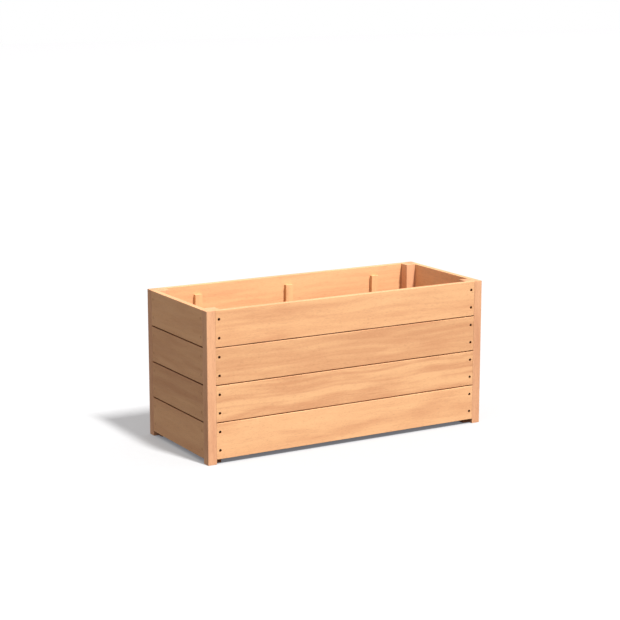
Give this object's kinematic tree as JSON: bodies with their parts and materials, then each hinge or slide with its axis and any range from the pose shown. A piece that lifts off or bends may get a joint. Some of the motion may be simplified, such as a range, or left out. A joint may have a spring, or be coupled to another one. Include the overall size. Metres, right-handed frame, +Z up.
{
  "type": "planter box",
  "caption": "Rectangular hardwood planter: board walls screwed into rebated corner posts that stand proud as short feet, with inner battens and a slatted draining floor.",
  "frame": {"origin": "middle of the footprint, on the ground under the feet", "axes": "+X along the length to the right end, +Y from the front to the back, +Z up"},
  "size_m": [1.2, 0.5, 0.57],
  "materials": {
    "board_wood": "planed hardwood with a thin honey-coloured oil, satin",
    "post_wood": "planed hardwood with upright grain, slightly pinker than the boards, satin",
    "inner_wood": "sawn and lightly planed hardwood, matte",
    "screw_steel": "dark brown coated wood screws, matte"
  },
  "bodies": {
    "root": {"front_left_post": "post_wood", "front_right_post": "post_wood", "back_left_post": "post_wood", "back_right_post": "post_wood", "front_board_1": "board_wood", "front_board_2": "board_wood", "front_board_3": "board_wood", "front_board_4": "board_wood", "back_board_1": "board_wood", "back_board_2": "board_wood", "back_board_3": "board_wood", "back_board_4": "board_wood", "left_board_1": "board_wood", "left_board_2": "board_wood", "left_board_3": "board_wood", "left_board_4": "board_wood", "right_board_1": "board_wood", "right_board_2": "board_wood", "right_board_3": "board_wood", "right_board_4": "board_wood", "front_batten_left": "inner_wood", "front_batten_middle": "inner_wood", "front_batten_right": "inner_wood", "back_batten_left": "inner_wood", "back_batten_middle": "inner_wood", "back_batten_right": "inner_wood", "floor_bearer_front": "inner_wood", "floor_bearer_back": "inner_wood", "floor_slat_1": "inner_wood", "floor_slat_2": "inner_wood", "floor_slat_3": "inner_wood", "floor_slat_4": "inner_wood", "floor_slat_5": "inner_wood", "floor_slat_6": "inner_wood", "floor_slat_7": "inner_wood", "floor_slat_8": "inner_wood", "front_wall_screws": "screw_steel", "back_wall_screws": "screw_steel", "left_wall_screws": "screw_steel", "right_wall_screws": "screw_steel", "front_batten_screws": "screw_steel", "back_batten_screws": "screw_steel", "front_bearer_screws": "screw_steel", "back_bearer_screws": "screw_steel", "floor_screws": "screw_steel"}
  },
  "joints": []
}
